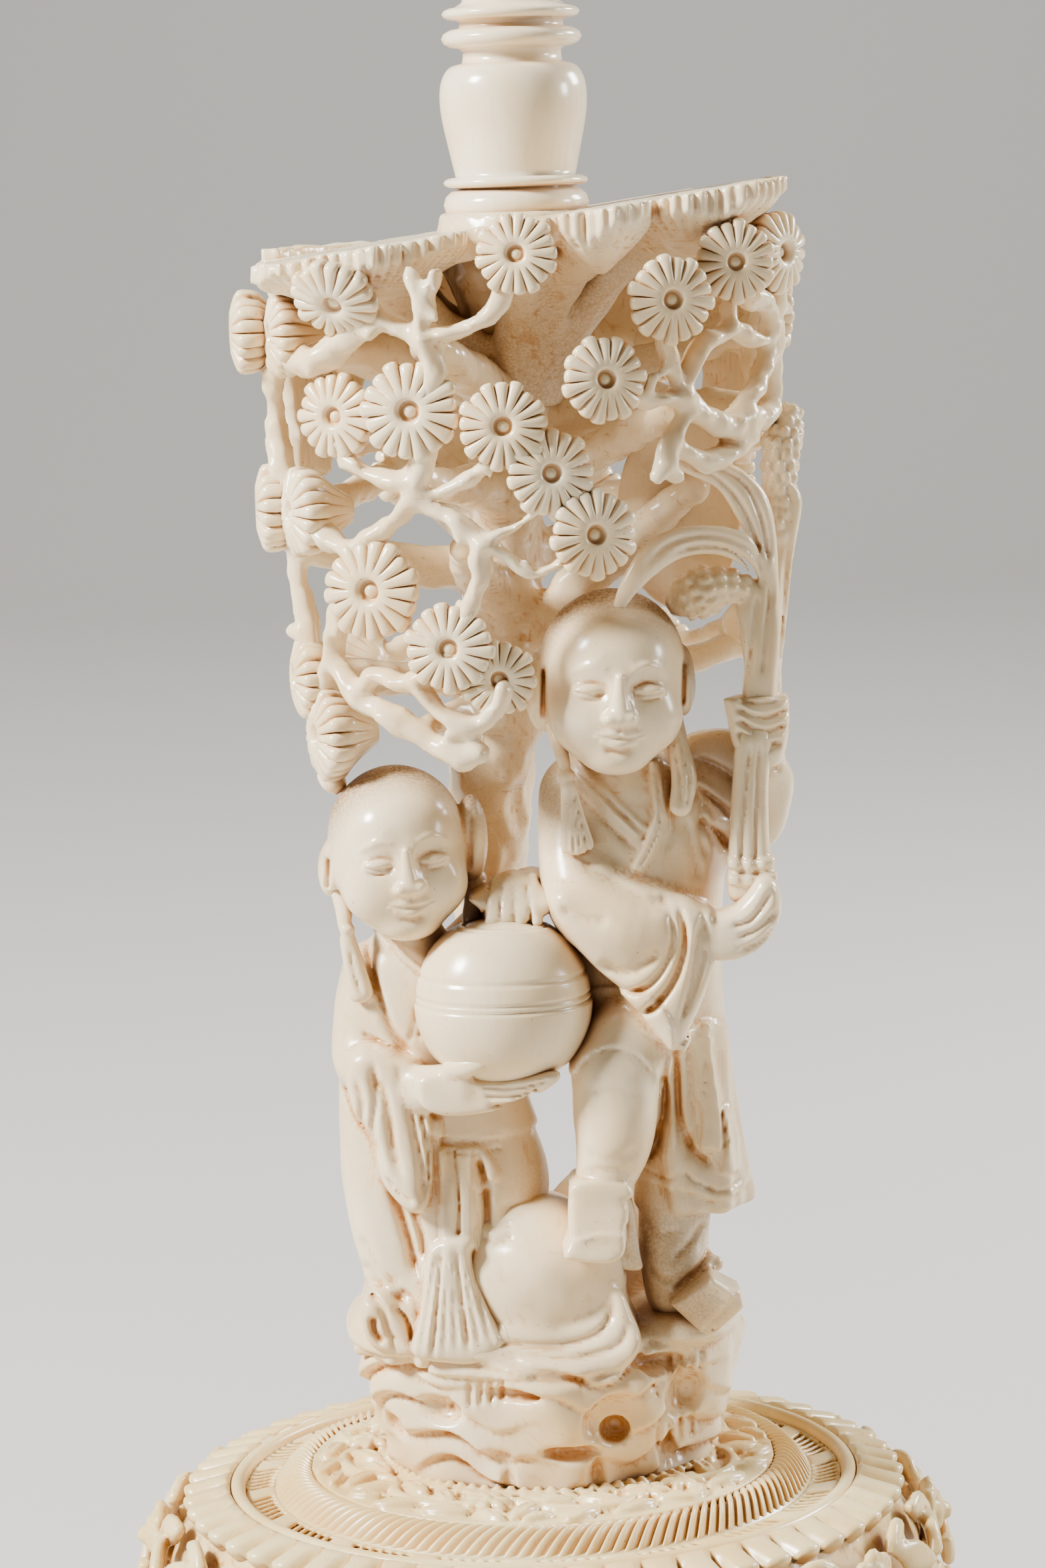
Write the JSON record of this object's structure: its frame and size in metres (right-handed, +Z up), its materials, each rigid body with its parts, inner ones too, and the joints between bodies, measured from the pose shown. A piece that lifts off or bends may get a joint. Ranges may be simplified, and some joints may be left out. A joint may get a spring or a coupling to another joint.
{
  "type": "carved ivory puzzle ball stand",
  "caption": "Carved ivory stand for a puzzle ball: a domed foot with foliage, a pine tree with boys on a rock, and a turned stem with a cup.",
  "frame": {"origin": "middle of the foot's underside", "axes": "+Z up along the stand, the carving's front faces -Y, +X to the viewer's right"},
  "size_m": [0.099, 0.099, 0.224],
  "materials": {
    "foot_ivory": "polished ivory, toned in the cuts",
    "column_ivory": "polished ivory, toned in the cuts",
    "stem_ivory": "turned and polished ivory"
  },
  "bodies": {
    "root": {"carved_foot": "foot_ivory", "carved_column": "column_ivory", "turned_stem": "stem_ivory"}
  },
  "joints": []
}
